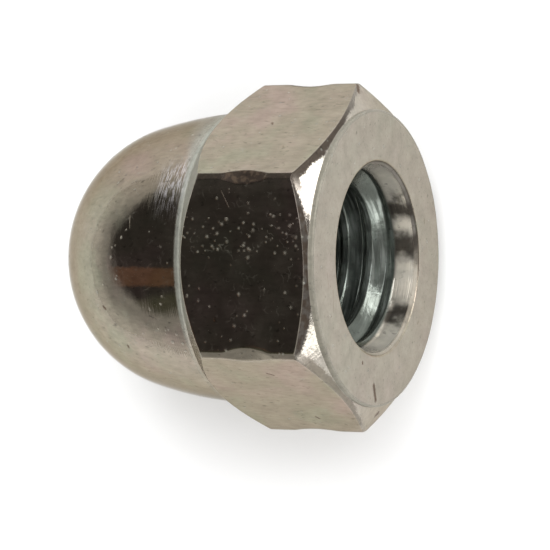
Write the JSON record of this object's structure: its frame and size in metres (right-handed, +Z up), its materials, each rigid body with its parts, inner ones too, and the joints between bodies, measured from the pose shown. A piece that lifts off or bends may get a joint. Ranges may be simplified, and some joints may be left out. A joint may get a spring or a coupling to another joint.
{
  "type": "cap nut",
  "caption": "Domed cap nut: a hexagon with a closed round dome and a blind M10 thread, which covers the end of a bolt.",
  "frame": {"origin": "centre of the bounding box at the bench, Z = 0. The nut lies as it comes to rest: on the side of its dome and on the edge of one flat, so its thread axis leans 11.2 degrees from the bench", "axes": "the thread's axis lies in the XZ plane: +X is out of the mouth and a little up, so the dome's tip points to -X; +Y across two opposite corners of the hexagon; +Z up from the bench"},
  "size_m": [0.02, 0.0194, 0.0181],
  "materials": {
    "plated_steel": "bright zinc plating, dulled and lightly pitted"
  },
  "bodies": {
    "root": {"cap_nut": "plated_steel"}
  },
  "joints": []
}
